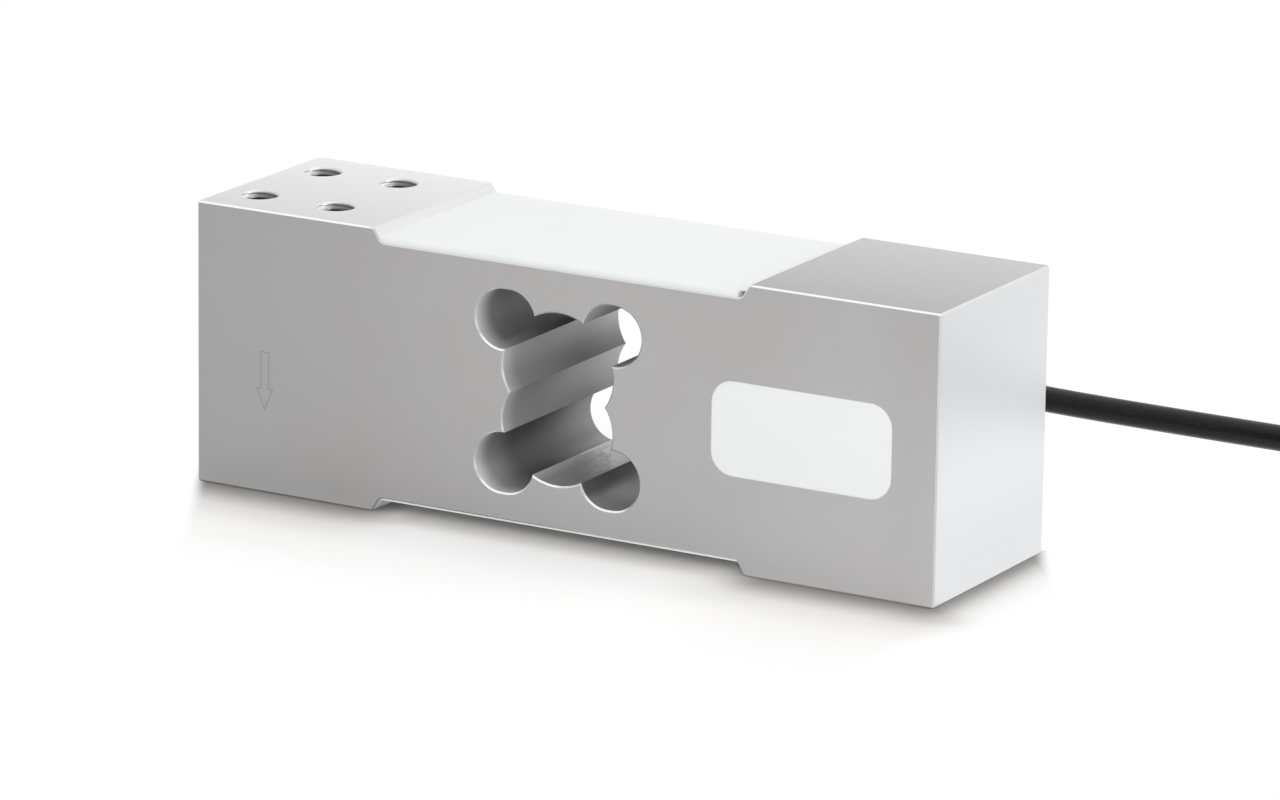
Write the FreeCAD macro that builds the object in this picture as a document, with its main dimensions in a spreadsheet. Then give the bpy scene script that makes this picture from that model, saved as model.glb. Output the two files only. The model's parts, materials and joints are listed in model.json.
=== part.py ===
import FreeCAD, Part
import math
import os
import Sketcher

# Single point load cell: one milled aluminium block that bends like a parallelogram around the bored
# opening in its middle, four foil strain gauges over the four thin places, a wiring pocket filled with
# potting compound, and a round signal cable that leaves the rear face.
# Millimetres. X runs along the block towards the wiring pocket, Y runs away from the viewer and Z runs up.
# The origin is the middle of the block's underside.

V = FreeCAD.Vector
doc = FreeCAD.newDocument("single_point_load_cell")

# Driving dimensions: name, value, meaning

DIMENSIONS = [
    ("block_length", 176.0, "whole block along X"),
    ("block_width", 48.0, "whole block along Y"),
    ("block_height", 61.0, "whole block along Z"),
    ("edge_break", 0.35, "chamfer on every outer edge"),
    ("recess_depth", 3.0, "gauge recess below the mounting pads, top and bottom"),
    ("pad_length", 43.5, "mounting pad at each end, from the block's end to the flank's upper edge"),
    ("flank_lean", 1.85, "how far each flank leans in over the recess depth"),
    ("foot_radius", 1.8, "fillet where a flank meets the recess floor"),
    ("ear_radius", 6.4, "bores that leave the four thin places"),
    ("ear_spacing_x", 26.4, "between the ear bores along X"),
    ("ear_draw", 1.2, "how far each ear bore is drawn out towards the middle"),
    ("ear_spacing_z", 30.5, "between the ear bores along Z"),
    ("lobe_radius", 10.0, "four larger bores that join the ear bores"),
    ("lobe_spacing_x", 6.2, "between the lobe bores along X"),
    ("lobe_spacing_z", 11.8, "between the lobe bores along Z"),
    ("throat_radius", 12.4, "arc above and below the opening's middle"),
    ("throat_height", 36.6, "opening from the lower arc to the upper arc"),
    ("pad_hole_radius", 4.0, "tapped hole, at the root of an M8 thread"),
    ("pad_hole_mouth", 4.3, "radius of the countersink at each tapped hole"),
    ("pad_hole_depth", 15.0, "full depth of the tapped holes, short of the wiring pocket"),
    ("pad_hole_end", 8.2, "first row of tapped holes from the block's end"),
    ("pad_hole_row", 19.0, "tapped holes along X"),
    ("pad_hole_column", 25.0, "tapped holes along Y"),
    ("pocket_reach", 6.4, "wiring pocket's left end inwards of the flank's foot"),
    ("pocket_wall", 10.25, "metal between the wiring pocket and the block's right end"),
    ("pocket_height", 20.0, "wiring pocket along Z"),
    ("pocket_depth", 14.0, "wiring pocket from the front face"),
    ("pocket_corner", 5.0, "corner radius of the wiring pocket"),
    ("wire_bore_radius", 1.6, "drilled wire hole between the recesses and the pocket"),
    ("wire_bore_inset", 3.25, "wire hole from the pocket's left end"),
    ("wire_bore_setback", 8.0, "wire hole from the front face"),
    ("gauge_length", 9.0, "foil gauge carrier along X"),
    ("gauge_width", 6.0, "foil gauge carrier along Y"),
    ("carrier_thick", 0.1, "plastic carrier of a gauge"),
    ("foil_thick", 0.06, "foil and solder tabs on the carrier"),
    ("grid_length", 4.0, "active grid of a gauge"),
    ("grid_line", 0.3, "width of one grid line"),
    ("grid_pitch", 0.6, "between two grid lines"),
    ("tab_length", 1.2, "solder tab along X"),
    ("tab_width", 1.6, "solder tab along Y"),
    ("strip_gap", 7.5, "terminal strip from the right gauge"),
    ("strip_length", 4.0, "terminal strip along X"),
    ("strip_width", 12.0, "terminal strip along Y"),
    ("strip_thick", 0.2, "terminal strip's base"),
    ("copper_thick", 0.1, "copper pads of strips and board"),
    ("pad_pitch", 2.8, "between two pads of a terminal strip"),
    ("potting_thick", 1.2, "white compound over the gauges"),
    ("potting_round", 0.7, "rounded long edges of that layer"),
    ("potting_lip", 0.35, "lower layer where it runs out at the front and rear faces"),
    ("potting_feather", 3.5, "how far inwards the lower layer thins out towards that lip"),
    ("potting_nick", 1.1, "corner of the upper layer left open beside the right flank"),
    ("nick_shift", 0.3, "middle of that open corner past the flank's foot"),
    ("pocket_fill_inset", 0.15, "compound in the pocket below the front face"),
    ("jumper_radius", 0.18, "bare jumper wire between gauge and strip"),
    ("jumper_bend", 1.0, "bends of a jumper wire"),
    ("jumper_spread", 4.0, "jumper wire along X from its tab to the line of its pad"),
    ("wire_overlap", 0.5, "wire end past the middle of the strip's pad"),
    ("lead_radius", 0.3, "insulated lead from strip to board"),
    ("lead_pitch", 0.75, "between two leads side by side"),
    ("lead_bend", 0.85, "bends of a lead"),
    ("board_gap", 2.35, "bridge board from the ferrule"),
    ("board_height", 16.5, "bridge board along Z"),
    ("board_thick", 1.0, "bridge board along Y"),
    ("board_end", 2.2, "board from the pocket's right end"),
    ("lead_pad_inset", 3.0, "column of lead pads from the board's left end"),
    ("core_pad_inset", 7.0, "column of conductor pads from the board's left end"),
    ("lead_pad_rise", 4.65, "lead pads start this far above and below the board's middle"),
    ("core_pad_pitch", 1.5, "between two conductor pads"),
    ("chip_margin", 3.0, "field of trimming resistors from the conductor pads"),
    ("chip_row", 5.2, "between the two rows of trimming resistors"),
    ("chip_length", 2.0, "trimming resistor along X"),
    ("chip_height", 1.25, "trimming resistor along Z"),
    ("chip_thick", 0.5, "trimming resistor along Y"),
    ("cable_radius", 2.75, "jacket of the signal cable"),
    ("cable_inset", 7.75, "cable axis from the pocket's left end"),
    ("cable_drop", 3.5, "cable axis below the block's mid height"),
    ("bore_play", 0.2, "cable bore around the jacket"),
    ("grip_play", 0.03, "boot and ferrule around the jacket"),
    ("boot_radius", 5.0, "rubber boot where it plugs the rear counterbore"),
    ("boot_plug", 8.0, "boot inside the block"),
    ("boot_nose", 8.0, "boot outside the rear face"),
    ("boot_tip", 3.7, "radius of the boot's outer end"),
    ("boot_shoulder", 1.2, "length of the shoulder where the boot's nose begins"),
    ("boot_relief", 0.4, "boot's nose inside the plug's radius"),
    ("ferrule_radius", 4.2, "crimped ferrule that stops the cable in the pocket"),
    ("ferrule_length", 4.0, "ferrule along the cable"),
    ("ferrule_groove", 0.4, "depth of the swaged groove around the ferrule"),
    ("strip_back", 0.5, "jacket beyond the ferrule"),
    ("core_radius", 0.55, "insulated conductor of the cable"),
    ("core_pitch", 1.3, "between two conductors inside the jacket"),
    ("core_bend", 0.9, "bends of a conductor"),
    ("core_straight", 3.4, "conductors straight out of the jacket"),
    ("core_stagger", 0.8, "two conductors bend this much later and two this much sooner"),
    ("core_run_in", 1.0, "conductor from the column of lead pads to where it turns towards its own pad"),
    ("exit_run", 17.0, "cable straight out of the rear face"),
    ("coil_middle", 31.0, "coil of spare cable, radius at the middle of its turns"),
    ("coil_side", 22.0, "coil's bundle of turns, four by four"),
    ("tie_thick", 0.5, "strap around the bundle"),
    ("tie_angle", 9.0, "strap's width, as an angle about the coil's axis"),
    ("tie_turn", 50.0, "strap's place, as an angle about the coil's axis from the X direction"),
    ("sleeve_radius", 3.2, "shrunk sleeve at the cable's free end"),
    ("sleeve_length", 9.0, "that sleeve along the cable"),
    ("tip_radius", 0.3, "tinned strands of a lead"),
    ("tip_length", 6.0, "tinned part of a lead"),
    ("screen_radius", 0.35, "twisted strands of the screen"),
]

sheet = doc.addObject("Spreadsheet::Sheet", "Dimensions")
for row, (name, number, meaning) in enumerate(DIMENSIONS, start=1):
    sheet.set(f"A{row}", meaning)
    sheet.set(f"B{row}", str(number))
    sheet.setAlias(f"B{row}", name)
doc.recompute()


class Size:
    """A length together with the cell formula that gives it, so that features can be bound to it."""

    def __init__(self, value, text):
        self.value = float(value)
        self.text = text

    def __add__(self, other):
        other = as_size(other)
        return Size(self.value + other.value, f"({self.text} + {other.text})")

    def __sub__(self, other):
        other = as_size(other)
        return Size(self.value - other.value, f"({self.text} - {other.text})")

    def __mul__(self, number):
        return Size(self.value * number, f"({self.text} * {float(number)})")

    def __truediv__(self, number):
        return Size(self.value / number, f"({self.text} / {float(number)})")

    def __neg__(self):
        return self * -1

    def __radd__(self, other):
        return as_size(other) + self

    def __rsub__(self, other):
        return as_size(other) - self


def as_size(number):
    """A plain number as a size."""
    if isinstance(number, Size):
        return number
    return Size(number, str(float(number)))


def cell(name):
    """The size held by one cell of the sheet."""
    return Size(sheet.get(name), "Dimensions." + name)


def bind(item, path, size):
    """Ties one property to the sheet."""
    item.setExpression(path, as_size(size).text)


# Sizes that several pieces share

end_x = cell("block_length") / 2
side_y = cell("block_width") / 2
top_z = cell("block_height")
middle_z = top_z / 2
step_x = end_x - cell("pad_length")
foot_x = step_x - cell("flank_lean")
floor_z = top_z - cell("recess_depth")
roof_z = cell("recess_depth")
ear_x = cell("ear_spacing_x") / 2
ear_z = cell("ear_spacing_z") / 2
pocket_left = foot_x - cell("pocket_reach")
pocket_right = end_x - cell("pocket_wall")
pocket_floor = cell("pocket_depth") - side_y
wire_x = pocket_left + cell("wire_bore_inset")
wire_y = cell("wire_bore_setback") - side_y
cable_x = pocket_left + cell("cable_inset")
cable_z = middle_z - cell("cable_drop")
cable_radius = cell("cable_radius")

nodes = []


def is_node(item, label):
    """Names a finished piece, which becomes a file of that name."""
    item.Label = label
    nodes.append(item)
    return item


# Helpers for sketches and features

def new_body(label):
    """An empty body for a piece of that name."""
    return is_node(doc.addObject("PartDesign::Body", label), label)


def sketch_on(body, role, name, height=None):
    """A sketch on one of the body's own planes, or lifted along that plane's normal."""
    plane = [item for item in body.Origin.OriginFeatures if item.Role == role][0]
    sketch = body.newObject("Sketcher::SketchObject", name)
    sketch.AttachmentSupport = [(plane, "")]
    sketch.MapMode = "FlatFace"
    if height is not None:
        sketch.AttachmentOffset = FreeCAD.Placement(V(0, 0, height.value), FreeCAD.Rotation())
        bind(sketch, "AttachmentOffset.Base.z", height)
    return sketch


def fix(sketch, kind, place, size):
    """One dimension of a sketch, bound to the sheet."""
    number = sketch.addConstraint(Sketcher.Constraint(kind, *place, size.value))
    bind(sketch, f"Constraints[{number}]", size)


def fix_point(sketch, line, end, across, up):
    """Holds one end or centre at its distances from the sketch's origin."""
    for kind, size, axis in (("DistanceX", across, -2), ("DistanceY", up, -1)):
        size = as_size(size)
        if abs(size.value) < 1e-9:
            sketch.addConstraint(Sketcher.Constraint("PointOnObject", line, end, axis))
        elif size.value > 0:
            fix(sketch, kind, (-1, 1, line, end), size)
        else:
            fix(sketch, kind, (line, end, -1, 1), -size)


def draw_polygon(sketch, corners):
    """A closed outline of straight lines, with every corner at its own distances."""
    spots = [V(as_size(a).value, as_size(b).value, 0) for a, b in corners]
    first = sketch.GeometryCount
    count = len(spots)
    for i in range(count):
        sketch.addGeometry(Part.LineSegment(spots[i], spots[(i + 1) % count]))
    for i in range(count):
        following = first + (i + 1) % count
        sketch.addConstraint(Sketcher.Constraint("Coincident", first + i, 2, following, 1))
    for i, (across, up) in enumerate(corners):
        fix_point(sketch, first + i, 1, across, up)


def draw_circle(sketch, across, up, radius):
    """A full circle."""
    centre = V(as_size(across).value, as_size(up).value, 0)
    circle = sketch.addGeometry(Part.Circle(centre, V(0, 0, 1), radius.value))
    fix(sketch, "Radius", (circle,), radius)
    fix_point(sketch, circle, 3, across, up)


def pad(body, sketch, name, length, symmetric=False, backwards=False):
    """Material added from a sketch."""
    feature = body.newObject("PartDesign::Pad", name)
    feature.Profile = sketch
    bind(feature, "Length", length)
    feature.SideType = "Symmetric" if symmetric else "One side"
    feature.Reversed = backwards
    doc.recompute()
    return feature


def cut(body, sketch, name, length=None, symmetric=False, backwards=False):
    """Material cut away from a sketch, right through where no length is given."""
    before = body.Shape.Volume
    feature = body.newObject("PartDesign::Pocket", name)
    feature.Profile = sketch
    if length is None:
        feature.Type = "ThroughAll"
    else:
        bind(feature, "Length", length)
    feature.SideType = "Symmetric" if symmetric else "One side"
    feature.Reversed = backwards
    doc.recompute()
    if not body.Shape.Volume < before - 1e-3:
        raise RuntimeError(f"{name} cuts nothing")
    return feature


def edges_where(feature, wanted):
    """Names of the feature's edges that pass a test on their two ends."""
    found = []
    for number, edge in enumerate(feature.Shape.Edges, start=1):
        if wanted([vertex.Point for vertex in edge.Vertexes]):
            found.append(f"Edge{number}")
    return found


def dress(body, kind, name, base, edges, size):
    """A fillet or chamfer on the named edges of the feature before it."""
    feature = body.newObject("PartDesign::" + kind, name)
    feature.Base = (base, edges)
    bind(feature, "Radius" if kind == "Fillet" else "Size", size)
    doc.recompute()
    return feature


def near(number, *sizes):
    """True where a coordinate lies at one of the sizes."""
    return any(abs(number - as_size(size).value) < 1e-4 for size in sizes)


# Helpers for plain solids

def box(name, length, width, height, x, y, z):
    """A box centred on x and y, standing on z."""
    item = doc.addObject("Part::Box", name)
    bind(item, "Length", length)
    bind(item, "Width", width)
    bind(item, "Height", height)
    bind(item, "Placement.Base.x", x - length / 2)
    bind(item, "Placement.Base.y", y - width / 2)
    bind(item, "Placement.Base.z", z)
    return item


def rod(name, radius, length, x, y, z):
    """A cylinder that runs towards +Y from the given point."""
    item = doc.addObject("Part::Cylinder", name)
    item.Placement = FreeCAD.Placement(V(), FreeCAD.Rotation(V(1, 0, 0), -90))
    bind(item, "Radius", radius)
    bind(item, "Height", length)
    bind(item, "Placement.Base.x", x)
    bind(item, "Placement.Base.y", y)
    bind(item, "Placement.Base.z", z)
    return item


def fuse(name, shapes):
    """Several solids as one."""
    item = doc.addObject("Part::MultiFuse", name)
    item.Shapes = shapes
    return item


def group(name, shapes):
    """Several separate solids in one piece's file."""
    item = doc.addObject("Part::Compound", name)
    item.Links = shapes
    return item


def minus(name, base, tool):
    """One solid with another cut out of it."""
    item = doc.addObject("Part::Cut", name)
    item.Base = base
    item.Tool = tool
    return item


def at(*place):
    """A point from three sizes or numbers."""
    return V(*[as_size(number).value for number in place])


def rounded_path(points, radius=None):
    """Straight runs joined by tangent arcs, and the arcs' radii.

    Without a given radius each arc takes 0.45 of the shorter run beside it.
    """
    edges = []
    radii = []
    start = points[0]
    for before, corner, after in zip(points, points[1:], points[2:]):
        inward = (before - corner).normalize()
        outward = (after - corner).normalize()
        half_turn = (math.pi - inward.getAngle(outward)) / 2
        reach = 0.45 * min(before.distanceToPoint(corner), corner.distanceToPoint(after))
        if radius is not None:
            reach = radius * math.tan(half_turn)
        bend = reach / math.tan(half_turn)
        centre = corner + (inward + outward).normalize() * (bend / math.cos(half_turn))
        halfway = centre + (corner - centre).normalize() * bend
        edges.append(Part.LineSegment(start, corner + inward * reach).toShape())
        edges.append(Part.Arc(corner + inward * reach, halfway, corner + outward * reach).toShape())
        start = corner + outward * reach
        radii.append(bend)
    edges.append(Part.LineSegment(start, points[-1]).toShape())
    return Part.Wire(edges), radii


def strand(name, points, thickness, radius=None):
    """A round wire or cable of one radius that follows a path."""
    wire, radii = rounded_path(points, radius)
    path = doc.addObject("Part::Feature", name + "_path")
    path.Shape = wire
    ring = doc.addObject("Part::Circle", name + "_ring")
    bind(ring, "Radius", thickness)
    ring.Placement = FreeCAD.Placement(points[0], FreeCAD.Rotation(V(0, 0, 1), points[1] - points[0]))
    item = doc.addObject("Part::Sweep", name)
    item.Sections = [ring]
    item.Spine = (path, [f"Edge{i + 1}" for i in range(len(wire.Edges))])
    item.Solid = True
    doc.recompute()
    expected = math.pi * thickness.value ** 2 * wire.Length
    if abs(item.Shape.Volume - expected) > 0.01 * expected:
        raise RuntimeError(f"{name} is not its section times its length")
    return item, wire.Length, radii


# The milled block

def draw_opening(sketch):
    """The outline of the opening, drawn once around its middle.

    In each quarter a lobe bore meets an ear bore, the ear bore is drawn out a little towards the
    middle, and the throat's arc closes the outline towards the other side.
    """
    lobe = (cell("lobe_spacing_x") / 2, cell("lobe_spacing_z") / 2, cell("lobe_radius"))
    ear = (ear_x, ear_z, cell("ear_radius"))
    drawn = (ear_x - cell("ear_draw"), ear_z, cell("ear_radius"))
    throat = (as_size(0), cell("throat_height") / 2 - cell("throat_radius"), cell("throat_radius"))
    waist = V(lobe[0].value + math.sqrt(lobe[2].value ** 2 - lobe[1].value ** 2), 0, 0)
    shoulder = min(crossings(ear, lobe), key=lambda point: point.y)
    crown = V(ear[0].value, ear[1].value + ear[2].value, 0)
    brow = V(drawn[0].value, crown.y, 0)
    cusp = max(crossings(drawn, throat), key=lambda point: point.y)

    quarter = [(waist, shoulder, lobe), (shoulder, crown, ear), (crown, brow, None), (brow, cusp, drawn)]
    around = []
    for right, up in ((1, 1), (-1, 1), (-1, -1), (1, -1)):
        pieces = quarter if right * up > 0 else [(b, a, c) for a, b, c in reversed(quarter)]
        for a, b, circle in pieces:
            around.append((mirrored(a, right, up), mirrored(b, right, up), circle, right, up))
        if right == 1 and up == 1:
            around.append((cusp, mirrored(cusp, -1, 1), throat, 1, 1))
        if right == -1 and up == -1:
            around.append((mirrored(cusp, -1, -1), mirrored(cusp, 1, -1), throat, 1, -1))

    for a, b, circle, right, up in around:
        if circle is None:
            sketch.addGeometry(Part.LineSegment(a, b))
            continue
        centre = V(right * circle[0].value, up * circle[1].value, 0)
        turn = Part.Circle(centre, V(0, 0, 1), circle[2].value)
        angles = [math.atan2(point.y - centre.y, point.x - centre.x) for point in (a, b)]
        sketch.addGeometry(Part.ArcOfCircle(turn, *angles))
    count = len(around)
    for i, (a, b, circle, right, up) in enumerate(around):
        following = (i + 1) % count
        smooth = circle is None or around[following][2] is None
        kind = "Tangent" if smooth else "Coincident"
        sketch.addConstraint(Sketcher.Constraint(kind, i, 2, following, 1))
        if circle is None:
            continue
        fix(sketch, "Radius", (i,), circle[2])
        fix_point(sketch, i, 3, circle[0] * right, circle[1] * up)


def mirrored(point, right, up):
    """A point of the first quarter in another quarter."""
    return V(right * point.x, up * point.y, 0)


def crossings(first, second):
    """The two points where two circles, each an (x, y, radius) of sizes, cross."""
    a = V(first[0].value, first[1].value, 0)
    b = V(second[0].value, second[1].value, 0)
    apart = a.distanceToPoint(b)
    along = (apart ** 2 + first[2].value ** 2 - second[2].value ** 2) / (2 * apart)
    beside = math.sqrt(first[2].value ** 2 - along ** 2)
    onward = (b - a).normalize()
    sideways = V(-onward.y, onward.x, 0)
    return [a + onward * along + sideways * sign * beside for sign in (-1, 1)]


def make_block():
    body = new_body("spring_body")
    outline = sketch_on(body, "XZ_Plane", "side_outline")
    draw_polygon(outline, [
        (-end_x, 0), (-step_x, 0), (-foot_x, roof_z), (foot_x, roof_z), (step_x, 0), (end_x, 0),
        (end_x, top_z), (step_x, top_z), (foot_x, floor_z), (-foot_x, floor_z),
        (-step_x, top_z), (-end_x, top_z),
    ])
    blank = pad(body, outline, "blank", side_y * 2, symmetric=True)
    feet = edges_where(blank, lambda ends: all(
        near(abs(end.x), foot_x) and near(end.z, roof_z, floor_z) for end in ends)
        and abs(ends[0].y - ends[-1].y) > 1)
    dress(body, "Fillet", "recess_feet", blank, feet, cell("foot_radius"))

    opening = sketch_on(body, "XZ_Plane", "opening_outline")
    opening.AttachmentOffset = FreeCAD.Placement(V(0, middle_z.value, 0), FreeCAD.Rotation())
    bind(opening, "AttachmentOffset.Base.y", middle_z)
    draw_opening(opening)
    cut(body, opening, "opening", symmetric=True)

    wiring = sketch_on(body, "XZ_Plane", "pocket_outline", side_y)
    low = middle_z - cell("pocket_height") / 2
    high = middle_z + cell("pocket_height") / 2
    draw_polygon(wiring, [(pocket_left, low), (pocket_right, low), (pocket_right, high), (pocket_left, high)])
    pocket = cut(body, wiring, "pocket", cell("pocket_depth"))
    corners = edges_where(pocket, lambda ends: all(
        near(end.x, pocket_left, pocket_right) and near(end.z, low, high) for end in ends)
        and abs(ends[0].y - ends[-1].y) > 1)
    dress(body, "Fillet", "pocket_corners", pocket, corners, cell("pocket_corner"))

    wires = sketch_on(body, "XY_Plane", "wire_hole_outline")
    draw_circle(wires, wire_x, wire_y, cell("wire_bore_radius"))
    cut(body, wires, "wire_hole", backwards=True)
    inlet = sketch_on(body, "XZ_Plane", "cable_hole_outline", -pocket_floor)
    draw_circle(inlet, cable_x, cable_z, cable_radius + cell("bore_play"))
    cut(body, inlet, "cable_hole")
    seat = sketch_on(body, "XZ_Plane", "boot_seat_outline", -side_y)
    draw_circle(seat, cable_x, cable_z, cell("boot_radius"))
    cut(body, seat, "boot_seat", cell("boot_plug"), backwards=True)

    first_row = end_x - cell("pad_hole_end")
    second_row = first_row - cell("pad_hole_row")
    tapped_holes(body, "load_holes", -first_row, -second_row, top_z, backwards=False)
    holes = tapped_holes(body, "base_holes", first_row, second_row, as_size(0), backwards=True)

    def outer(ends):
        """Edges of the front and rear faces' outlines, and edges across the pads."""
        if all(near(abs(end.y), side_y) for end in ends) and near(ends[0].y, ends[-1].y):
            on_pocket = all(pocket_left.value - 1 < end.x < pocket_right.value + 1
                            and low.value - 1 < end.z < high.value + 1 for end in ends)
            return not on_pocket and not is_inside_opening(ends)
        across = abs(ends[0].y - ends[-1].y) > 1
        return across and all(near(abs(end.x), end_x, step_x) and near(end.z, 0, top_z) for end in ends)

    edges = dress(body, "Chamfer", "outer_edges", holes, edges_where(holes, outer), cell("edge_break"))
    rim = edges_where(edges, lambda ends: all(near(abs(end.y), side_y) for end in ends)
                      and near(ends[0].y, ends[-1].y) and is_inside_opening(ends))
    dress(body, "Chamfer", "opening_edges", edges, rim, cell("edge_break"))
    return body


def is_inside_opening(ends):
    """True for edges around the opening."""
    reach_x = ear_x.value + cell("ear_radius").value + 0.01
    reach_z = ear_z.value + cell("ear_radius").value + 0.01
    return all(abs(end.x) < reach_x and abs(end.z - middle_z.value) < reach_z for end in ends)


def tapped_holes(body, name, first_x, second_x, height, backwards):
    """Two rows of two blind holes, each with a drill point and a countersunk mouth."""
    sketch = sketch_on(body, "XY_Plane", name + "_centres", height)
    for x in (first_x, second_x):
        for side in (-1, 1):
            draw_circle(sketch, x, cell("pad_hole_column") / 2 * side, cell("pad_hole_radius"))
    doc.recompute()
    before = body.Shape.Volume
    feature = body.newObject("PartDesign::Hole", name)
    feature.Profile = sketch
    feature.ThreadType = "None"
    feature.DepthType = "Dimension"
    feature.DrillPoint = "Angled"
    feature.DrillPointAngle = 118
    feature.HoleCutType = "Countersink"
    feature.HoleCutCountersinkAngle = 90
    feature.Reversed = backwards
    bind(feature, "Diameter", cell("pad_hole_radius") * 2)
    bind(feature, "HoleCutDiameter", cell("pad_hole_mouth") * 2)
    bind(feature, "Depth", cell("pad_hole_depth"))
    doc.recompute()
    if not body.Shape.Volume < before - 1000:
        raise RuntimeError(f"{name} cuts nothing")
    return feature


block = make_block()


# What is bonded into each recess

class Side:
    """The upper or the lower recess: where a layer lies above its floor, counted out of the block."""

    def __init__(self, name, up):
        self.name = name
        self.up = up

    def base(self, below, thick):
        """Lowest z of a layer of this thickness that lies on what is below it."""
        if self.up:
            return floor_z + below
        return roof_z - below - thick

    def centre(self, height):
        """The z of a wire's axis at this height over the floor."""
        return floor_z + height if self.up else roof_z - height

    def mirror(self, z):
        """A height of the upper half in this half."""
        return z if self.up else top_z - z


upper = Side("upper", True)
lower = Side("lower", False)
carrier = cell("carrier_thick")
foil = cell("foil_thick")
copper = cell("copper_thick")
tab_x = cell("grid_length") / 2 + cell("tab_length")
tab_y = cell("gauge_width") / 2 - cell("tab_width") * 0.75
strip_x = ear_x + cell("gauge_length") / 2 + cell("strip_gap")
pad_rows = (1.5, 0.5, -0.5, -1.5)
lead_height = cell("strip_thick") + copper + cell("lead_radius")
jumper_height = cell("strip_thick") + copper + cell("jumper_radius")


def make_gauge(side, name, x):
    """A foil gauge: carrier, grid lines along X and two solder tabs."""
    base = side.base(as_size(0), carrier)
    above = side.base(carrier, foil)
    pieces = [box(name + "_carrier", cell("gauge_length"), cell("gauge_width"), carrier, x, as_size(0), base)]
    for line in range(-2, 3):
        y = cell("grid_pitch") * line
        pieces.append(box(name + "_line", cell("grid_length"), cell("grid_line"), foil, x, y, above))
    for sign in (-1, 1):
        y = tab_y * sign
        pieces.append(box(name + "_tab", cell("tab_length"), cell("tab_width"), foil, x + tab_x, y, above))
    return is_node(fuse(name, pieces), name)


def make_strip(side):
    """The terminal strip between the gauges and the wire hole, with four copper pads."""
    name = side.name + "_terminal_strip"
    thick = cell("strip_thick")
    base = box(name + "_base", cell("strip_length"), cell("strip_width"), thick,
               strip_x, as_size(0), side.base(as_size(0), thick))
    pads = [box(name + "_pad", cell("strip_length") * 0.8, cell("pad_pitch") * 0.6, copper,
                strip_x, cell("pad_pitch") * row, side.base(thick, copper)) for row in pad_rows]
    return is_node(fuse(name, [base] + pads), name)


def make_jumpers(side):
    """Four bare wires from the gauges' tabs to the terminal strip's pads."""
    name = side.name + "_jumper_wires"
    z = side.centre(jumper_height)
    runs = []
    for sign in (-1, 1):
        for gauge_x, row in ((-ear_x, 1.5), (ear_x, 0.5)):
            tab = gauge_x + tab_x
            y = cell("pad_pitch") * row * sign
            points = [at(tab, tab_y * sign, z), at(tab + cell("jumper_spread"), y, z),
                      at(strip_x - cell("wire_overlap"), y, z)]
            label = f"{name}_{len(runs) + 1}"
            runs.append(strand(label, points, cell("jumper_radius"), cell("jumper_bend").value)[0])
    return is_node(group(name, runs), name)


def make_leads(side):
    """Four insulated leads: along the recess, down the wire hole and across to the bridge board."""
    name = side.name + "_lead_wires"
    z = side.centre(lead_height)
    runs = []
    for number, row in enumerate(pad_rows):
        y = cell("pad_pitch") * row
        x = wire_x + cell("lead_pitch") * row
        level = side.mirror(lead_level(number))
        points = [at(strip_x + cell("wire_overlap"), y, z), at(x, y, z), at(x, wire_y, z),
                  at(x, wire_y, level), at(lead_pad_x, wire_y, level), at(lead_pad_x, board_face - copper, level)]
        label = f"{name}_{number + 1}"
        runs.append(strand(label, points, cell("lead_radius"), cell("lead_bend").value)[0])
    return is_node(group(name, runs), name)


# The bridge board in the pocket

board_left = cable_x + cell("ferrule_radius") + cell("board_gap")
board_right = pocket_right - cell("board_end")
board_face = pocket_floor - cell("board_thick")
lead_pad_x = board_left + cell("lead_pad_inset")
core_pad_x = board_left + cell("core_pad_inset")


def lead_level(number):
    """Height of the board pad of one lead from the upper recess."""
    return middle_z + cell("lead_pad_rise") + cell("lead_pitch") * (4 - number)


def core_level(number):
    """Height of the board pad of one conductor of the cable."""
    return middle_z + cell("core_pad_pitch") * (number - 1.5)


def make_board():
    """The bridge board, with its copper pads laminated on."""
    name = "bridge_board"
    low = middle_z - cell("board_height") / 2
    base = box(name + "_base", board_right - board_left, cell("board_thick"), cell("board_height"),
               (board_left + board_right) / 2, pocket_floor - cell("board_thick") / 2, low)
    wide = cell("lead_radius") * 2
    pieces = [base]
    for side in (upper, lower):
        for number in range(len(pad_rows)):
            pieces.append(box(name + "_pad", wide * 2, copper, wide, lead_pad_x, board_face - copper / 2,
                              side.mirror(lead_level(number)) - wide / 2))
    tall = cell("core_radius") * 2
    for number in range(4):
        pieces.append(box(name + "_pad", tall * 2, copper, tall, core_pad_x, board_face - copper / 2,
                          core_level(number) - tall / 2))
    return is_node(fuse(name, pieces), name)


def make_resistors():
    """Trimming resistors that balance the bridge, in two rows of three right of the pads."""
    field = core_pad_x + cell("chip_margin")
    chips = []
    for column in range(3):
        for row in (-1, 1):
            x = field + (board_right - field) * ((column + 0.5) / 3)
            z = middle_z + cell("chip_row") / 2 * row - cell("chip_height") / 2
            chips.append(box("trim_resistor", cell("chip_length"), cell("chip_thick"), cell("chip_height"),
                             x, board_face - cell("chip_thick") / 2, z))
    return is_node(group("trim_resistors", chips), "trim_resistors")


# The cable inside the block

jacket_end = pocket_floor - cell("ferrule_length") - cell("strip_back")


def turned_body(label, profile, x, y, z):
    """A piece turned about the cable's axis, from (y, radius) corners."""
    body = new_body(label)
    sketch = sketch_on(body, "YZ_Plane", label + "_profile")
    draw_polygon(sketch, profile)
    turn = body.newObject("PartDesign::Revolution", label + "_turn")
    turn.Profile = sketch
    turn.ReferenceAxis = (sketch, ["H_Axis"])
    turn.Angle = 360
    bind(body, "Placement.Base.x", x)
    bind(body, "Placement.Base.y", y)
    bind(body, "Placement.Base.z", z)
    doc.recompute()
    return body


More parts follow.
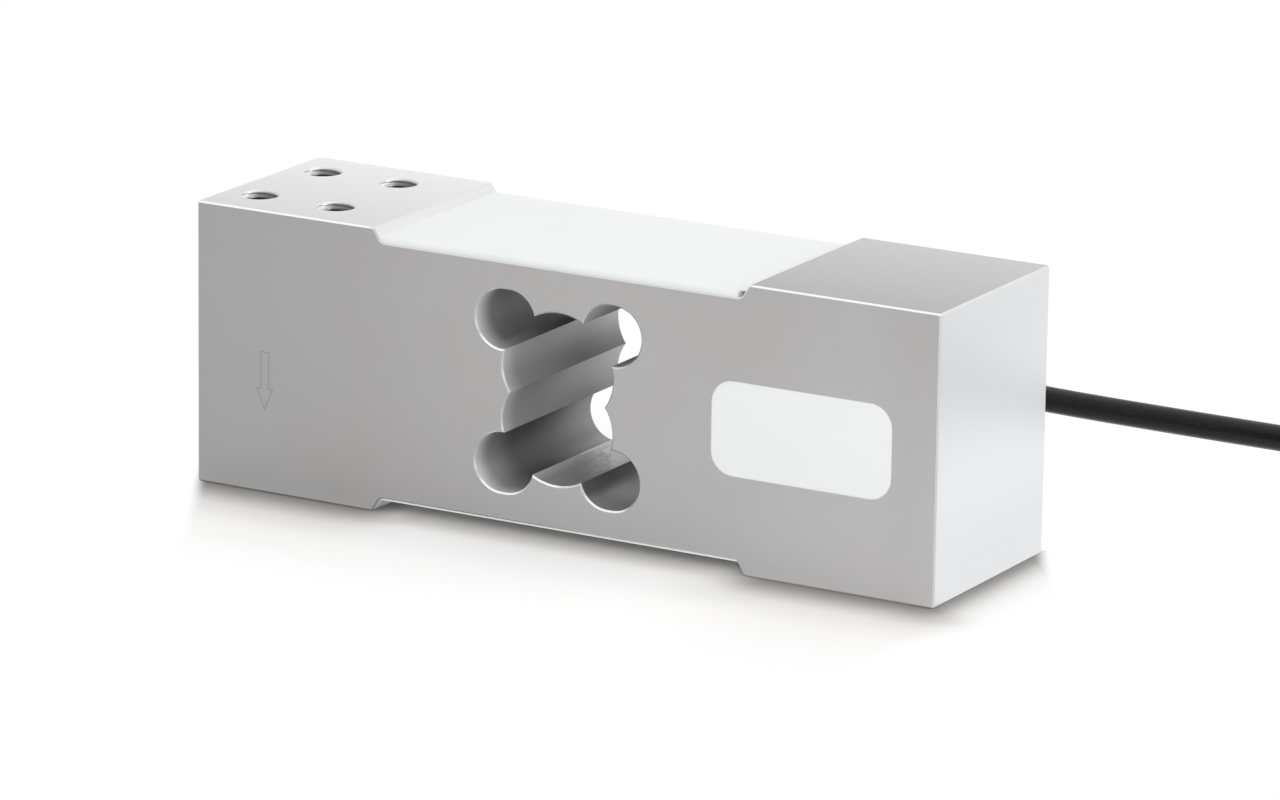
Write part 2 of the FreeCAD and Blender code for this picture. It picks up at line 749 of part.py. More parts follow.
def make_boot():
    """The rubber boot: a plug in the rear counterbore and a tapered nose around the cable."""
    grip = cable_radius + cell("grip_play")
    return turned_body("cable_boot", [
        (-cell("boot_plug"), grip), (cell("boot_nose"), grip), (cell("boot_nose"), cell("boot_tip")),
        (cell("boot_shoulder"), cell("boot_radius") - cell("boot_relief")), (as_size(0), cell("boot_radius")),
        (-cell("boot_plug"), cell("boot_radius")),
    ], cable_x, side_y, cable_z)


def make_ferrule():
    """The crimped ferrule, with a swaged groove, that sits on the pocket's floor."""
    grip = cable_radius + cell("grip_play")
    long = cell("ferrule_length")
    wide = cell("ferrule_radius")
    narrow = wide - cell("ferrule_groove")
    return turned_body("cable_ferrule", [
        (-long, grip), (as_size(0), grip), (as_size(0), wide), (-long * 0.3, wide),
        (-long * 0.45, narrow), (-long * 0.55, narrow), (-long * 0.7, wide), (-long, wide),
    ], cable_x, pocket_floor, cable_z)


def make_core(number, colour, across, up):
    """One conductor from the jacket's end to its pad on the board."""
    half = cell("core_pitch") / 2
    x = cable_x + half * across
    z = cable_z + half * up
    front = jacket_end - cell("core_straight") + cell("core_stagger") * across
    level = core_level(number)
    points = [at(x, jacket_end, z), at(x, front, z), at(lead_pad_x + cell("core_run_in"), front, level),
              at(core_pad_x, front, level), at(core_pad_x, board_face - copper, level)]
    label = colour + "_conductor"
    return is_node(strand(label, points, cell("core_radius"), cell("core_bend").value)[0], label)


gauges = {}
for side in (upper, lower):
    for end, x in (("left", -ear_x), ("right", ear_x)):
        label = f"{side.name}_{end}_strain_gauge"
        gauges[label] = make_gauge(side, label, x)
strips = {side.name: make_strip(side) for side in (upper, lower)}
jumpers = {side.name: make_jumpers(side) for side in (upper, lower)}
leads = {side.name: make_leads(side) for side in (upper, lower)}
board = make_board()
resistors = make_resistors()
boot = make_boot()
ferrule = make_ferrule()
inlet_length = side_y - jacket_end
inlet = is_node(rod("cable_inlet", cable_radius, inlet_length, cable_x, jacket_end, cable_z), "cable_inlet")
cores = [
    make_core(0, "black", -1, -1),
    make_core(1, "red", 1, -1),
    make_core(2, "white", -1, 1),
    make_core(3, "green", 1, 1),
]


# Potting compound, cast around what it covers

def without(name, base, tools):
    """A piece with each of the others cut out of it in turn."""
    for number, tool in enumerate(tools, start=1):
        base = minus(f"{name}_without_{number}", base, tool)
    return is_node(base, name)


def make_layer(side):
    """The layer that fills a recess's floor from flank to flank.

    The upper one has its long edges rounded, and the lower one thins out towards the side faces.
    """
    name = side.name + "_gauge_potting"
    thick = cell("potting_thick")
    rise = cell("flank_lean").value / cell("recess_depth").value
    wide = foot_x + thick * rise
    inner = side.centre(as_size(0))
    outer = side.centre(thick)
    body = doc.addObject("PartDesign::Body", name + "_cast")
    sketch = sketch_on(body, "XZ_Plane", name + "_profile")
    draw_polygon(sketch, [(-foot_x, inner), (foot_x, inner), (wide, outer), (-wide, outer)])
    slab = pad(body, sketch, name + "_slab", side_y * 2 - cell("edge_break") * 2, symmetric=True)
    feet = edges_where(slab, lambda ends: all(near(end.z, inner) for end in ends)
                       and abs(ends[0].y - ends[1].y) > 1)
    seated = dress(body, "Fillet", name + "_feet", slab, feet, cell("foot_radius"))
    rims = edges_where(seated, lambda ends: all(near(end.z, outer) for end in ends)
                       and abs(ends[0].x - ends[1].x) > 1)
    if side.up:
        dress(body, "Fillet", name + "_rims", seated, rims, cell("potting_round"))
    else:
        feather = dress(body, "Chamfer", name + "_rims", seated, rims, thick - cell("potting_lip"))
        feather.ChamferType = "Two distances"
        bind(feather, "Size2", cell("potting_feather"))
        doc.recompute()
    held = [gauges[label] for label in gauges if label.startswith(side.name)]
    held += [strips[side.name], jumpers[side.name], leads[side.name]]
    if side.up:
        nick = doc.addObject("Part::Cylinder", name + "_nick")
        bind(nick, "Radius", cell("potting_nick"))
        bind(nick, "Height", cell("recess_depth"))
        bind(nick, "Placement.Base.x", foot_x + cell("nick_shift"))
        bind(nick, "Placement.Base.y", -side_y)
        bind(nick, "Placement.Base.z", inner)
        held.append(nick)
    return without(name, body, held)


def make_pocket_fill():
    """The compound that fills the wiring pocket, just below the front face."""
    name = "pocket_potting"
    body = doc.addObject("PartDesign::Body", name + "_cast")
    sketch = sketch_on(body, "XZ_Plane", name + "_outline", -pocket_floor)
    low = middle_z - cell("pocket_height") / 2
    high = middle_z + cell("pocket_height") / 2
    draw_polygon(sketch, [(pocket_left, low), (pocket_right, low), (pocket_right, high), (pocket_left, high)])
    fill = pad(body, sketch, name + "_fill", cell("pocket_depth") - cell("pocket_fill_inset"))
    corners = edges_where(fill, lambda ends: abs(ends[0].y - ends[1].y) > 1)
    dress(body, "Fillet", name + "_corners", fill, corners, cell("pocket_corner"))
    return without(name, body, [leads["upper"], leads["lower"], board, resistors, ferrule, inlet] + cores)


make_layer(upper)
make_layer(lower)
make_pocket_fill()


# The cable outside the block: a free run, a tied coil of the spare length, and the stripped end

coil_x = 194.0
coil_y = 25.0
turn_pitch = cable_radius.value * 2
outer_turn = cell("coil_middle").value + 1.5 * turn_pitch
low_turn = cell("tie_thick").value + turn_pitch / 2
high_turn = low_turn + 3 * turn_pitch

# The free run, from the boot to the coil's upper turns

free_run = [
    at(cable_x, side_y, cable_z),
    at(cable_x, side_y + cell("exit_run"), cable_z),
    V(52.3, 56.0, 24.1),
    V(67.2, 65.2, 20.3),
    V(98.0, 65.9, 19.8),
    V(134.0, 65.3, 19.9),
    V(168.0, 64.9, 19.9),
    V(coil_x, 62.4, high_turn - 1.2),
]

# The free end, flat on the surface beside the coil

tail_run = [
    V(coil_x + outer_turn - 0.7, coil_y, low_turn + 0.6),
    V(234.0, 10.0, 3.3),
    V(234.6, -6.0, 3.2),
]


def make_coil():
    """The outer shape of the coiled cable."""
    body = new_body("cable_coil")
    sketch = sketch_on(body, "XZ_Plane", "coil_profile")
    draw_square(sketch, cell("coil_side") / 2, cell("tie_thick") + cell("coil_side") / 2)
    turn_about_coil(body, sketch, as_size(360))
    round_edges = edges_where(body.Tip, lambda ends: True)
    dress(body, "Fillet", "coil_rounding", body.Tip, round_edges, cable_radius)
    return body


def draw_square(sketch, half, middle):
    """A square profile about the bundle's centre."""
    x = cell("coil_middle")
    draw_polygon(sketch, [(x - half, middle - half), (x + half, middle - half),
                          (x + half, middle + half), (x - half, middle + half)])


def turn_about_coil(body, sketch, angle):
    """Turns a profile about the coil's upright axis."""
    turn = body.newObject("PartDesign::Revolution", sketch.Label + "_turn")
    turn.Profile = sketch
    turn.ReferenceAxis = (sketch, ["V_Axis"])
    bind(turn, "Angle", angle)
    body.Placement = FreeCAD.Placement(V(coil_x, coil_y, 0), FreeCAD.Rotation())
    doc.recompute()


def make_tie():
    """The strap around the bundle."""
    body = doc.addObject("PartDesign::Body", "tie_blank")
    sketch = sketch_on(body, "XZ_Plane", "tie_profile")
    middle = cell("tie_thick") + cell("coil_side") / 2
    draw_square(sketch, cell("coil_side") / 2 + cell("tie_thick"), middle)
    turn_about_coil(body, sketch, cell("tie_angle"))
    turned = FreeCAD.Rotation(V(0, 0, 1), -cell("tie_turn").value)
    body.Placement = FreeCAD.Placement(V(coil_x, coil_y, 0), turned)
    corners = edges_where(body.Tip, lambda ends: len(ends) == 2 and near(ends[0].z, ends[1].z)
                          and abs(math.hypot(ends[0].x, ends[0].y) - math.hypot(ends[1].x, ends[1].y)) < 1e-4)
    dress(body, "Fillet", "tie_rounding", body.Tip, corners, cable_radius + cell("tie_thick"))
    return is_node(minus("coil_tie", body, coil), "coil_tie")


coil = make_coil()
make_tie()


def make_cable_run():
    """The cable from the boot to where it joins the coil."""
    swept, length, radii = strand("cable_run_whole", free_run, cable_radius)
    print("cable run length %.1f mm, bend radii %s" % (length, [round(number, 1) for number in radii]))
    return is_node(minus("cable_run", swept, coil), "cable_run")


def make_tail():
    """The jacketed free end beside the coil, up to where the jacket is cut back."""
    swept, length, radii = strand("cable_tail_whole", tail_run, cable_radius)
    print("cable tail length %.1f mm, bend radii %s" % (length, [round(number, 1) for number in radii]))
    return is_node(minus("cable_tail", swept, coil), "cable_tail")


# The stripped end: a shrunk sleeve, four insulated leads with tinned tips and the screen's twisted strands

def end_place(along, across, height):
    """A point beyond the tail, in the tail's own direction on the surface."""
    start = tail_run[-1]
    onward = (tail_run[-1] - tail_run[-2]).normalize()
    onward = V(onward.x, onward.y, 0).normalize()
    sideways = V(-onward.y, onward.x, 0)
    place = start + onward * along + sideways * across
    return V(place.x, place.y, height)


def make_end_sleeve():
    """The shrunk sleeve around the jacket's cut end."""
    long = cell("sleeve_length").value
    start = end_place(-long * 0.6, 0, tail_run[-1].z)
    onward = end_place(1, 0, tail_run[-1].z) - tail_run[-1]
    turned = FreeCAD.Placement(start, FreeCAD.Rotation(V(0, 0, 1), onward))
    outside = doc.addObject("Part::Cylinder", "end_sleeve_outside")
    outside.Placement = turned
    bind(outside, "Radius", cell("sleeve_radius"))
    bind(outside, "Height", cell("sleeve_length"))
    sleeve = minus("cable_end_sleeve", outside, cable_tail)
    return is_node(sleeve, "cable_end_sleeve")


def make_end_leads():
    """Four insulated leads that fan out on the surface, their tinned tips and the twisted screen."""
    begin = cell("sleeve_length").value * 0.4
    core = cell("core_radius")
    tip = cell("tip_radius")
    half = cell("core_pitch").value / 2
    tips = []
    for colour, across, up, spread in (("black", -1, 1, -7.5), ("red", 1, 1, 3.6),
                                       ("white", -1, -1, -3.4), ("green", 1, -1, 7.8)):
        level = tail_run[-1].z + half * up
        points = [
            end_place(begin, half * across, level),
            end_place(begin + 4, half * across, level),
            end_place(begin + 9, half * across + spread * 0.25, level * 0.6),
            end_place(begin + 16, spread * 0.65, core.value + 0.15),
            end_place(begin + 23, spread, core.value),
        ]
        label = colour + "_lead"
        is_node(strand(label, points, core)[0], label)
        onward = (points[-1] - points[-2]).normalize()
        bare = doc.addObject("Part::Cylinder", label + "_tip")
        bare.Placement = FreeCAD.Placement(points[-1], FreeCAD.Rotation(V(0, 0, 1), onward))
        bind(bare, "Radius", tip)
        bind(bare, "Height", cell("tip_length"))
        tips.append(bare)
    is_node(group("tinned_tips", tips), "tinned_tips")
    screen_radius = cell("screen_radius")
    screen = [
        end_place(begin, 0, 1.4),
        end_place(begin + 5, 0, 1.4),
        end_place(begin + 12, -0.2, 0.5),
        end_place(begin + 24, 0.5, screen_radius.value),
    ]
    is_node(strand("screen_lead", screen, screen_radius)[0], "screen_lead")


cable_run = make_cable_run()
cable_tail = make_tail()
make_end_sleeve()
make_end_leads()


# Checks before anything is written

doc.recompute()
for item in doc.Objects:
    if "Invalid" in item.State or "Error" in item.State:
        raise RuntimeError(f"{item.Label} is {item.State}")
for item in nodes:
    if item.Shape.isNull() or not item.Shape.isValid() or not item.Shape.Solids:
        raise RuntimeError(f"{item.Label} has no sound solid")

os.makedirs("parts", exist_ok=True)
for item in nodes:
    item.Shape.exportStep(f"parts/{item.Label}.step")
    print("%-28s solids %2d  volume %10.2f" % (item.Label, len(item.Shape.Solids), item.Shape.Volume))
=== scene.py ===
import json

import bpy
import numpy as np
from mathutils import Matrix, Vector


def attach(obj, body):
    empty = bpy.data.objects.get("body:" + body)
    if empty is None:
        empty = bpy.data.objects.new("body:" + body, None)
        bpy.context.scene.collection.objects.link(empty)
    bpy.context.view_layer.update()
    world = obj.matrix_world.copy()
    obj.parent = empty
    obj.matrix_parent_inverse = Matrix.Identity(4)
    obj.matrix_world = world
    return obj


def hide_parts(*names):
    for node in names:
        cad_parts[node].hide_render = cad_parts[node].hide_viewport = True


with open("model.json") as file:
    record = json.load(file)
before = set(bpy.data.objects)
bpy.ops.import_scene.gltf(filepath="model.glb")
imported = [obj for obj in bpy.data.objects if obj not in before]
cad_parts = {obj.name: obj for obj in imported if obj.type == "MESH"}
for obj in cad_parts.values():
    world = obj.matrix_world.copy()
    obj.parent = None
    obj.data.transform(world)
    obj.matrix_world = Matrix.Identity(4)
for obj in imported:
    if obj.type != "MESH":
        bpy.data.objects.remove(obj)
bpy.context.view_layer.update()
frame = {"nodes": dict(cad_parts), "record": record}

# Sizes in metres, as the block has them: X along the block, Y away from the viewer, Z up

MM = 0.001
HALF_LENGTH = 88.0 * MM
HALF_WIDTH = 24.0 * MM
HEIGHT = 61.0 * MM
MIDDLE = HEIGHT / 2
PAD_EDGE = 44.0 * MM
CUSP_X = 5.8 * MM
CUSP_Z = 13.6 * MM
HOLE_RADIUS = 4.0 * MM
HOLE_DEPTH = 15.0 * MM
HOLE_X = (60.8 * MM, 79.8 * MM)
HOLE_Y = 12.5 * MM
CABLE_RADIUS = 2.75 * MM


def new_object(name, data):
    """An object with its data, linked to the scene."""
    made = bpy.data.objects.new(name, data)
    bpy.context.scene.collection.objects.link(made)
    return made


# Camera, at the photograph's place

def place_camera():
    """A long lens in front of the block's right end, a little above it."""
    camera = new_object("camera", bpy.data.cameras.new("camera"))
    right = Vector((0.8669494250, 0.4982006227, 0.0139582931))
    ahead = Vector((-0.4779349777, 0.8389738995, -0.2601940683))
    above = Vector((-0.1413394904, 0.2189039414, 0.9654554432))
    place = (0.738526844, -1.285991201, 0.424787159)
    turned = Matrix((right, above, -ahead)).transposed().to_4x4()
    camera.matrix_world = Matrix.Translation(place) @ turned
    camera.data.sensor_width = 36.0
    camera.data.lens = 207.66
    camera.data.clip_start = 0.05
    camera.data.clip_end = 20.0
    bpy.context.scene.camera = camera


place_camera()


# Shader maths

class Signal:
    """One socket's value, which adds its Math nodes when it meets an operator."""

    def __init__(self, nodes, socket):
        self.nodes = nodes
        self.socket = socket

    def math(self, operation, *others):
        """A Math node whose first value is this one."""
        values = dict(enumerate((self,) + others))
        return self.nodes.node("ShaderNodeMath", {"operation": operation}, values)

    def __add__(self, other):
        return self.math("ADD", other)

    def __sub__(self, other):
        return self.math("SUBTRACT", other)

    def __mul__(self, other):
        return self.math("MULTIPLY", other)

    __radd__ = __add__
    __rmul__ = __mul__

    def __rsub__(self, other):
        return self.nodes.node("ShaderNodeMath", {"operation": "SUBTRACT"}, {0: other, 1: self})

    def __abs__(self):
        return self.math("ABSOLUTE")

    def above(self, edge, soft):
        """0 under the edge and 1 over it, with a smooth step between, soft wide on each side."""
        return self.nodes.node(
            "ShaderNodeMapRange", {"interpolation_type": "SMOOTHSTEP"},
            {"Value": self, "From Min": edge - soft, "From Max": edge + soft})

    def below(self, edge, soft):
        """1 under the edge and 0 over it."""
        return 1.0 - self.above(edge, soft)

    def near(self, middle, reach, soft):
        """1 within reach of the middle and 0 further away."""
        return abs(self - middle).below(reach, soft)


def distance(first, second):
    """The straight distance that two distances at right angles make."""
    return (first * first + second * second).math("SQRT")


def largest(first, *others):
    """The largest of some values."""
    for other in others:
        first = first.math("MAXIMUM", other)
    return first


class Nodes:
    """Makes the nodes of a material or of the world."""

    def __init__(self, tree):
        self.tree = tree

    def node(self, kind, settings, values, output=0):
        """A node with its settings, then the values or links of its sockets."""
        made = self.tree.nodes.new(kind)
        for name, setting in settings.items():
            setattr(made, name, setting)
        for socket, value in values.items():
            self.put(made.inputs[socket], value)
        return Signal(self, made.outputs[output])

    def put(self, socket, value):
        """A link for a signal, and otherwise the value itself."""
        if isinstance(value, Signal):
            self.tree.links.new(value.socket, socket)
        else:
            socket.default_value = value


class Finish(Nodes):
    """A procedural material: the constants sit on its shader's sockets, the rest is linked."""

    def __init__(self, name, constants):
        self.material = bpy.data.materials.new(name)
        self.material.use_nodes = True
        super().__init__(self.material.node_tree)
        self.shader = self.tree.nodes["Principled BSDF"]
        for socket, value in constants.items():
            self.shader.inputs[socket].default_value = value
        self.place = self.node("ShaderNodeTexCoord", {}, {}, "Object")

    def drive(self, **signals):
        """Links what varies to the shader."""
        for name, signal in signals.items():
            self.put(self.shader.inputs[name.replace("_", " ")], signal)

    def axes(self, vector):
        """The three parts of a vector."""
        split = self.node("ShaderNodeSeparateXYZ", {}, {0: vector}).socket.node
        return [Signal(self, part) for part in split.outputs]

    def facing(self):
        """The three parts of the direction that the surface faces, in the object's own axes."""
        return self.axes(self.node("ShaderNodeTexCoord", {}, {}, "Normal"))

    def stretched(self, x, y, z):
        """Object coordinates, in metres, stretched along each axis."""
        return self.node("ShaderNodeMapping", {}, {"Vector": self.place, "Scale": (x, y, z)})

    def noise(self, x, y, z, detail=3.0, rough=0.5):
        """Noise of about so many cells a metre along each axis, 0 to 1."""
        return self.node("ShaderNodeTexNoise", {}, {
            "Vector": self.stretched(x, y, z), "Scale": 1.0, "Detail": detail, "Roughness": rough})

    def blend(self, share, first, second):
        """One colour turning into another."""
        return self.node("ShaderNodeMix", {"data_type": "RGBA"}, {0: share, 6: first, 7: second}, 2)

    def shaded(self, colour, amount):
        """A colour times a number that is near one."""
        neutral = self.node("ShaderNodeCombineColor", {}, {0: amount, 1: amount, 2: amount})
        return self.node("ShaderNodeMix", {"data_type": "RGBA", "blend_type": "MULTIPLY"},
                         {0: 1.0, 6: colour, 7: neutral}, 2)

    def bump(self, height, depth):
        """A normal from a height, whose full range is so many metres."""
        return self.node("ShaderNodeBump", {}, {
            "Strength": 1.0, "Distance": depth, "Height": height})


def rgb(red, green, blue):
    """An sRGB colour of 0 to 255 as the shader's own linear one."""
    parts = np.array((red, green, blue)) / 255.0
    linear = np.where(parts <= 0.04045, parts / 12.92, ((parts + 0.055) / 1.055) ** 2.4)
    return (*[float(part) for part in linear], 1.0)


def grey(level):
    """A neutral linear colour."""
    return (level, level, level, 1.0)


# Finishes

def opening_light(finish, x, y, z, facing):
    """Painted light and shade on the opening's bored walls, as a share where 1 is as light as a
    face outside.

    A plain share, less towards the rear, times one plus or less the terms for the lit mouths, the
    dark middle, the rear, the roofs, the lower right ear and the throat, which is painted lighter
    towards the rear and in scuff patches, with a painted glint along the crest. Each term is a
    product of smooth steps along X, Y and Z and of the way that the wall faces.
    """
    left = x.below(-6.0 * MM, 0.5 * MM)
    low = z.below(21.5 * MM, 0.4 * MM)
    lobe = z.near(MIDDLE, 9.3 * MM, 0.4 * MM)
    left_low = left * low
    left_lobe = left * lobe

    mouth = y.below(-22.0 * MM, 4.5 * MM) * left * (1.9 - 0.9 * lobe)
    mouth = mouth + 0.3 * y.below(-14.0 * MM, 7.0 * MM) * left_low * facing[2].above(0.3, 0.3)

    middle = y.above(-13.0 * MM, 5.0 * MM) * y.below(8.0 * MM, 14.0 * MM)
    behind_mouth = y.above(-19.0 * MM, 2.0 * MM) * y.below(-9.0 * MM, 4.0 * MM)
    deep = middle * left_low * (0.52 - facing[2] * 0.08)
    deep = deep + 0.22 * behind_mouth * left * (1.0 - low) * (1.0 - lobe)

    rear = y.above(-2.0 * MM, 12.0 * MM) * left_lobe * (0.24 - facing[2] * 1.15)
    rear = rear + 0.6 * y.above(4.0 * MM, 8.0 * MM) * left_low * facing[2].above(0.85, 0.15)

    roof = 0.25 * abs(x).below(7.0 * MM, 1.0 * MM) * z.above(44.5 * MM, 0.8 * MM)
    roof = roof + 0.3 * left_lobe * z.above(35.5 * MM, 2.5 * MM)
    roof = roof + 0.4 * x.above(6.0 * MM, 1.0 * MM) * z.above(40.0 * MM, 1.0 * MM)

    ear = x.above(CUSP_X, 0.05 * MM) * low
    ear_lit = 0.9 * ear * facing[0].below(0.7, 0.2) * y.above(-14.0 * MM, 6.0 * MM)
    ear_dim = 0.56 * ear * facing[0].above(0.7, 0.15) * y.below(-8.0 * MM, 7.0 * MM)

    throat = (z.below(16.5 * MM, 0.8 * MM) * x.above(-6.5 * MM, 0.3 * MM)
              * x.below(CUSP_X, 0.05 * MM))
    scuff_and_glint = finish.noise(900, 260, 900, 5.0, 0.7).above(0.5, 0.22)
    from_crest = distance(x + CUSP_X, z - CUSP_Z)
    # Painted glint: a thin light line along the crest between the throat and the lower left ear,
    # broken into scuff patches
    crest_glint = from_crest.below(0.4 * MM, 0.2 * MM) * y.above(-6.0 * MM, 5.0 * MM) * scuff_and_glint
    # Painted light on the throat: lighter towards the rear and at the crest, stronger in scuff
    # patches
    throat_wear_and_light = (y + x * 1.4).above(-1.0 * MM, 15.0 * MM) * (2.3 + scuff_and_glint * 4.6)
    throat_wear_and_light = throat_wear_and_light + (y + x * 1.9).above(1.0 * MM, 4.0 * MM) * 2.0
    throat_wear_and_light = throat_wear_and_light + from_crest.below(1.4 * MM, 1.4 * MM) * 0.5 + 0.12

    plain = 0.4 + facing[0] * 0.12 - y.above(0.0, 26.0 * MM) * 0.12
    terms = mouth - deep + rear + roof + ear_lit - ear_dim + throat * throat_wear_and_light + crest_glint * 2.0
    return plain * (1.0 + terms)


def hole_light(facing, depth):
    """Painted light and shade in a tapped hole: full on the wall that faces right and rearwards."""
    lit = (facing[0] * 0.87 + facing[1] * 0.5).above(0.45, 0.4)
    mouth = depth.below(1.1 * MM, 0.4 * MM)
    return 0.15 + 1.15 * lit + 0.3 * (1.0 - lit) * mouth


def machined_aluminium():
    """Milled faces with fine straight grain, bored walls with streaks along Y, painted edge
    highlights.
    """
    finish = Finish("machined_aluminium", {"IOR": 1.5})
    x, y, z = finish.axes(finish.place)
    facing = finish.facing()
    across, along, up = [abs(part) for part in facing]

    # Which surface of the block it is
    inside = abs(x).below(21.0 * MM, 0.5 * MM) * z.near(MIDDLE, 23.5 * MM, 0.5 * MM)
    outside = 1.0 - inside
    side_face = along.above(0.9, 0.05)
    end_face = across.above(0.95, 0.03) * abs(x).above(HALF_LENGTH - 0.4 * MM, 0.1 * MM)
    pad_face = up.above(0.95, 0.03) * outside
    left_pad = pad_face * x.below(-PAD_EDGE, 0.2 * MM)
    right_pad = pad_face * x.above(PAD_EDGE, 0.2 * MM) * z.above(HEIGHT - 0.6 * MM, 0.2 * MM)
    bored = along.below(0.4, 0.1) * inside
    flank = along.below(0.3, 0.1) * across.above(0.3, 0.1) * (1.0 - end_face) * outside
    scored = y.below(-HALF_WIDTH - 0.002 * MM, 0.001 * MM)

    # The tapped holes, as distances from the nearest one's axis and depth from the nearer pad
    row = abs(abs(abs(x) - (HOLE_X[0] + HOLE_X[1]) / 2) - (HOLE_X[1] - HOLE_X[0]) / 2)
    column = abs(abs(y) - HOLE_Y)
    depth = MIDDLE - abs(z - MIDDLE)
    in_hole = distance(row, column).below(HOLE_RADIUS + 0.4 * MM, 0.05 * MM)
    threaded = in_hole * depth.above(0.4 * MM, 0.2 * MM) * depth.below(20.0 * MM, 1.0 * MM)

    # The chamfered edges, which carry a painted highlight, without those under the potting and with
    # less or none on the shaded ones in the opening
    covered = abs(x).below(45.0 * MM, 1.0 * MM) * z.above(HEIGHT - 4.0 * MM, 0.5 * MM)
    lobe_edge_unlit = inside * x.above(6.0 * MM, 0.5 * MM) * z.near(37.0 * MM, 4.5 * MM, 0.5 * MM)
    throat_edge_unlit = (x.near(3.5 * MM, 2.8 * MM, 1.0 * MM)
                   * z.below(15.0 * MM, 0.5 * MM) * z.above(9.0 * MM, 1.0 * MM))
    edge = along.above(0.5, 0.05) * along.below(0.85, 0.05) * (1.0 - in_hole) * (1.0 - covered)
    edge = edge * (1.0 - lobe_edge_unlit) * (1.0 - 0.7 * throat_edge_unlit)

    # Grain along each face's cut, streaks along the bores
    grain = finish.noise(60, 2000, 5200, 4.0, 0.6) * side_face
    grain = grain + finish.noise(90, 4200, 2000, 4.0, 0.6) * pad_face
    grain = grain + finish.noise(2000, 70, 4200, 4.0, 0.6) * end_face
    grain = grain + finish.noise(2600, 30, 2600, 4.0, 0.65) * bored
    cloud = finish.noise(26, 26, 26, 2.0)
    fleck = finish.noise(900, 900, 900, 2.0)

    # Painted light and shade over the faces: the side faces lighter to the right and at the lower
    # right, a little lighter in the middle and darker near the right end; the end face darker
    # towards the top and lighter about its middle
    lower_right = x.math("MAXIMUM", 0.0) * (35.0 * MM - z) * 30.0
    on_side = 0.04 + x * 1.3 + lower_right
    on_side = on_side + 0.04 * x.near(-5.0 * MM, 28.0 * MM, 22.0 * MM)
    on_side = on_side - 0.045 * x.above(76.0 * MM, 6.0 * MM)
    on_end = 0.08 - z * 1.6 + 0.1 * z.near(30.0 * MM, 12.0 * MM, 14.0 * MM)
    # Painted shadow on the left flank, low down under the recess and back from the front
    left_foot_shadow = (z.below(3.2 * MM, 0.2 * MM) * x.below(0.0, 1.0 * MM)
                 * y.above(-22.3 * MM, 1.2 * MM))
    tone = 0.96 + grain * 0.05 + fleck * 0.03 + side_face * on_side + end_face * on_end
    # Painted light and shade on the pads: the left one lighter towards the rear, the right one
    # darker, less so towards the rear
    tone = tone + left_pad * y * 4.1 - right_pad * (0.335 - y * 4.0)
    tone = tone + flank * (0.01 - 0.5 * left_foot_shadow)

    # Painted light and shade in the opening and in the holes, multiplied into the tone
    walls = opening_light(finish, x, y, z, facing)
    tone = tone * (1.0 - bored * (1.0 - walls)).math("MINIMUM", 1.3)
    tone = tone * (1.0 - scored * 0.2) * (1.0 - threaded * (1.0 - hole_light(facing, depth)))

    warm = finish.blend(cloud, rgb(221, 219, 217), rgb(228, 227, 227))
    cool = finish.blend(end_face, rgb(223, 223, 224), rgb(221, 223, 225))
    colour = finish.blend(side_face, cool, warm)
    lowest = z.below(6.0 * MM, 1.0 * MM) * up.above(0.3, 0.1)
    # Painted shade on the lowest edges: a dull warm tone, darker towards the left
    underside_edge_shade = finish.blend(x.above(4.0 * MM, 24.0 * MM), rgb(168, 166, 163), rgb(226, 224, 218))
    # Painted highlight: the chamfered edges near white, the lowest ones in the painted underside
    # shade
    edge_highlight = finish.blend(lowest, rgb(250, 250, 249), underside_edge_shade)
    finish.drive(
        Base_Color=finish.blend(edge, finish.shaded(colour, tone), edge_highlight),
        Metallic=0.8 - bored * 0.45 - threaded * 0.2,
        Roughness=0.34 + grain * 0.10 + cloud * 0.04 + bored * 0.2 - edge * 0.12,
        Normal=finish.bump(grain, 0.006 * MM))
    return finish.material


def white_potting():
    """Silicone compound: off-white, satin, with a slow swell from being poured."""
    finish = Finish("white_potting", {"Metallic": 0.0, "IOR": 1.45})
    x, y, z = finish.axes(finish.place)
    swell = finish.noise(60, 60, 60, 2.0)
    skin = finish.noise(1400, 1400, 1400, 3.0)
    white = finish.blend(swell, rgb(231, 234, 234), rgb(237, 239, 239))
    # Painted shade: the potting a little darker on top
    upper = z.above(57.0 * MM, 0.5 * MM)
    # Painted shadow in the potting's front right corner, where it meets the flank
    corner_shadow = (x.above(42.0 * MM, 0.7 * MM) * y.below(-22.4 * MM, 0.5 * MM)
                   * z.above(57.6 * MM, 0.5 * MM))
    finish.drive(
        Base_Color=finish.shaded(white, 1.0 - corner_shadow * 0.7 - upper * 0.022),
        Roughness=0.36 + skin * 0.10,
        Normal=finish.bump(swell + skin * 0.03, 0.05 * MM))
    return finish.material


def cable_jacket():
    """Black PVC with a satin, slightly uneven skin."""
    finish = Finish("cable_jacket", {"Metallic": 0.0, "IOR": 1.45, "Specular IOR Level": 0.35})
    skin = finish.noise(700, 700, 700, 4.0, 0.6)
    cloud = finish.noise(60, 60, 60, 2.0)
    finish.drive(
        Base_Color=finish.blend(cloud, rgb(5, 5, 6), rgb(9, 9, 10)),
        Roughness=0.20 + skin * 0.14,
        Normal=finish.bump(skin, 0.02 * MM))
    return finish.material


def boot_rubber():
    """Matt black rubber with a moulded texture."""
    finish = Finish("boot_rubber", {"Metallic": 0.0, "IOR": 1.5})
    skin = finish.noise(2200, 2200, 2200, 3.0)
    finish.drive(
        Base_Color=finish.blend(skin, rgb(22, 22, 22), rgb(36, 36, 37)),
        Roughness=0.55 + skin * 0.2,
        Normal=finish.bump(skin, 0.03 * MM))
    return finish.material


